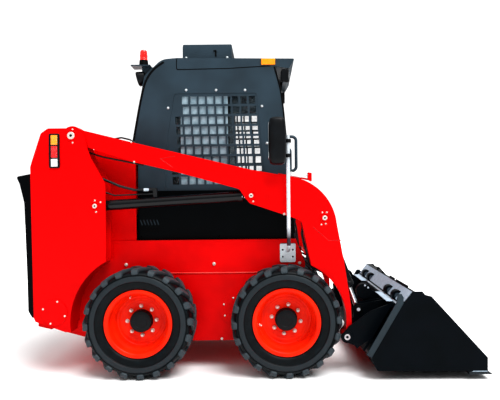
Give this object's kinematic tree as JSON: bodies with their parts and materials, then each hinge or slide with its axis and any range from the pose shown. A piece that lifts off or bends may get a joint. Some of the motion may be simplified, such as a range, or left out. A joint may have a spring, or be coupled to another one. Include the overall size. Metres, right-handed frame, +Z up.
{
  "type": "skid steer loader",
  "caption": "Compact wheeled loader with side towers, radial lift arms, a tilting bucket, an enclosed cab and driven wheels.",
  "frame": {"origin": "centre of the footprint on the ground, halfway between the rear door and the tip of the cutting edge", "axes": "+X forward, +Y to the machine's left, +Z up"},
  "size_m": [3.2438, 1.68, 2.3433],
  "materials": {
    "body_red": "gloss",
    "rim_orange": "gloss",
    "cab_black": "satin",
    "panel_black": "satin",
    "bucket_black": "satin",
    "edge_steel": "worn",
    "cylinder_black": "gloss",
    "rod_chrome": "polished",
    "tyre_rubber": "matte",
    "window_glass": "clear",
    "black_plastic": "matte",
    "lamp_plastic": "clear",
    "beacon_red": "clear",
    "seat_vinyl": "matte",
    "hose_rubber": "matte",
    "zinc_steel": "zinc plated",
    "engine_iron": "plain"
  },
  "bodies": {
    "machine": {"main_frame": "body_red", "tower_left": "body_red", "tower_right": "body_red", "axle_housings": "body_red", "engine_block": "engine_iron", "engine_hood": "body_red", "side_panel_left": "panel_black", "side_panel_right": "panel_black", "tail_lamps": "lamp_plastic", "cab_side_left": "cab_black", "cab_side_right": "cab_black", "cab_roof": "cab_black", "cab_rear": "cab_black", "cab_floor": "cab_black", "seat": "seat_vinyl", "control_levers": "black_plastic", "cab_glass": "window_glass", "window_screens": "cab_black", "roof_unit": "cab_black", "lamp_brackets": "cab_black", "beacon": "beacon_red", "work_lamps": "black_plastic", "mirror_post_left": "zinc_steel", "mirror_post_right": "zinc_steel", "mirror_head_left": "black_plastic", "mirror_head_right": "black_plastic", "grab_handles": "cab_black"},
    "lift_arms": {"arm_left": "body_red", "arm_right": "body_red", "arm_cross_tube": "body_red", "arm_hoses": "hose_rubber", "aux_bracket": "body_red", "aux_coupler": "zinc_steel"},
    "lift_barrels": {"lift_barrels": "cylinder_black", "lift_hoses": "hose_rubber"},
    "lift_rods": {"lift_rods": "rod_chrome"},
    "tilt_barrels": {"tilt_barrels": "cylinder_black"},
    "tilt_rods": {"tilt_rods": "rod_chrome"},
    "attachment": {"coupler": "bucket_black", "coupler_levers": "bucket_black", "bucket": "bucket_black", "cutting_edge": "edge_steel"},
    "cab_door": {"door_frame": "cab_black", "door_glass": "window_glass"},
    "engine_door": {"engine_door": "panel_black"},
    "wheel_front_left": {"tyre_front_left": "tyre_rubber", "rim_front_left": "rim_orange"},
    "wheel_front_right": {"tyre_front_right": "tyre_rubber", "rim_front_right": "rim_orange"},
    "wheel_rear_left": {"tyre_rear_left": "tyre_rubber", "rim_rear_left": "rim_orange"},
    "wheel_rear_right": {"tyre_rear_right": "tyre_rubber", "rim_rear_right": "rim_orange"}
  },
  "joints": [
    {"name": "wheel_front_left_spin", "type": "hinge", "parent": "machine", "child": "wheel_front_left", "pos_m": [0.275, 0.668, 0.376], "axis": [0, 1, 0], "continuous": true},
    {"name": "wheel_front_right_spin", "type": "hinge", "parent": "machine", "child": "wheel_front_right", "pos_m": [0.275, -0.668, 0.376], "axis": [0, 1, 0], "continuous": true},
    {"name": "wheel_rear_left_spin", "type": "hinge", "parent": "machine", "child": "wheel_rear_left", "pos_m": [-0.725, 0.668, 0.376], "axis": [0, 1, 0], "continuous": true},
    {"name": "wheel_rear_right_spin", "type": "hinge", "parent": "machine", "child": "wheel_rear_right", "pos_m": [-0.725, -0.668, 0.376], "axis": [0, 1, 0], "continuous": true},
    {"name": "arm_lift", "type": "hinge", "parent": "machine", "child": "lift_arms", "pos_m": [-1.18, 0, 1.654], "axis": [0, -1, 0], "range_deg": [0, 65]},
    {"name": "bucket_tilt", "type": "hinge", "parent": "lift_arms", "child": "attachment", "pos_m": [0.688, 0, 0.262], "axis": [0, 1, 0], "range_deg": [-25, 85]},
    {"name": "lift_barrel_turn", "type": "hinge", "parent": "machine", "child": "lift_barrels", "pos_m": [-1.023, 0, 1.172], "axis": [0, -1, 0], "range_deg": [-1, 60.02]},
    {"name": "lift_rod_slide", "type": "slide", "parent": "lift_barrels", "child": "lift_rods", "axis": [0.9984, 0, 0.0572], "range_m": [-0.002, 0.52951]},
    {"name": "tilt_barrel_turn", "type": "hinge", "parent": "lift_arms", "child": "tilt_barrels", "pos_m": [0.546, 0, 1.075], "axis": [0, -1, 0], "range_deg": [-1, 2.2]},
    {"name": "tilt_rod_slide", "type": "slide", "parent": "tilt_barrels", "child": "tilt_rods", "axis": [0.3484, 0, -0.9373], "range_m": [-0.06745, 0.22453]},
    {"name": "cab_door_swing", "type": "hinge", "parent": "machine", "child": "cab_door", "pos_m": [0.33279, 0.412, 1.5], "axis": [-0.1083, 0, 0.9941], "range_deg": [0, 85]},
    {"name": "engine_door_swing", "type": "hinge", "parent": "machine", "child": "engine_door", "pos_m": [-1.478, 0.55, 0.9], "axis": [0, 0, -1], "range_deg": [0, 90]}
  ],
  "couplings": [
    {"joint": "lift_barrel_turn", "follows": "arm_lift", "ratio": 0.90808},
    {"joint": "lift_rod_slide", "follows": "arm_lift", "m_per_rad": 0.46498},
    {"joint": "tilt_barrel_turn", "follows": "bucket_tilt", "ratio": 0.02},
    {"joint": "tilt_rod_slide", "follows": "bucket_tilt", "m_per_rad": 0.15}
  ]
}
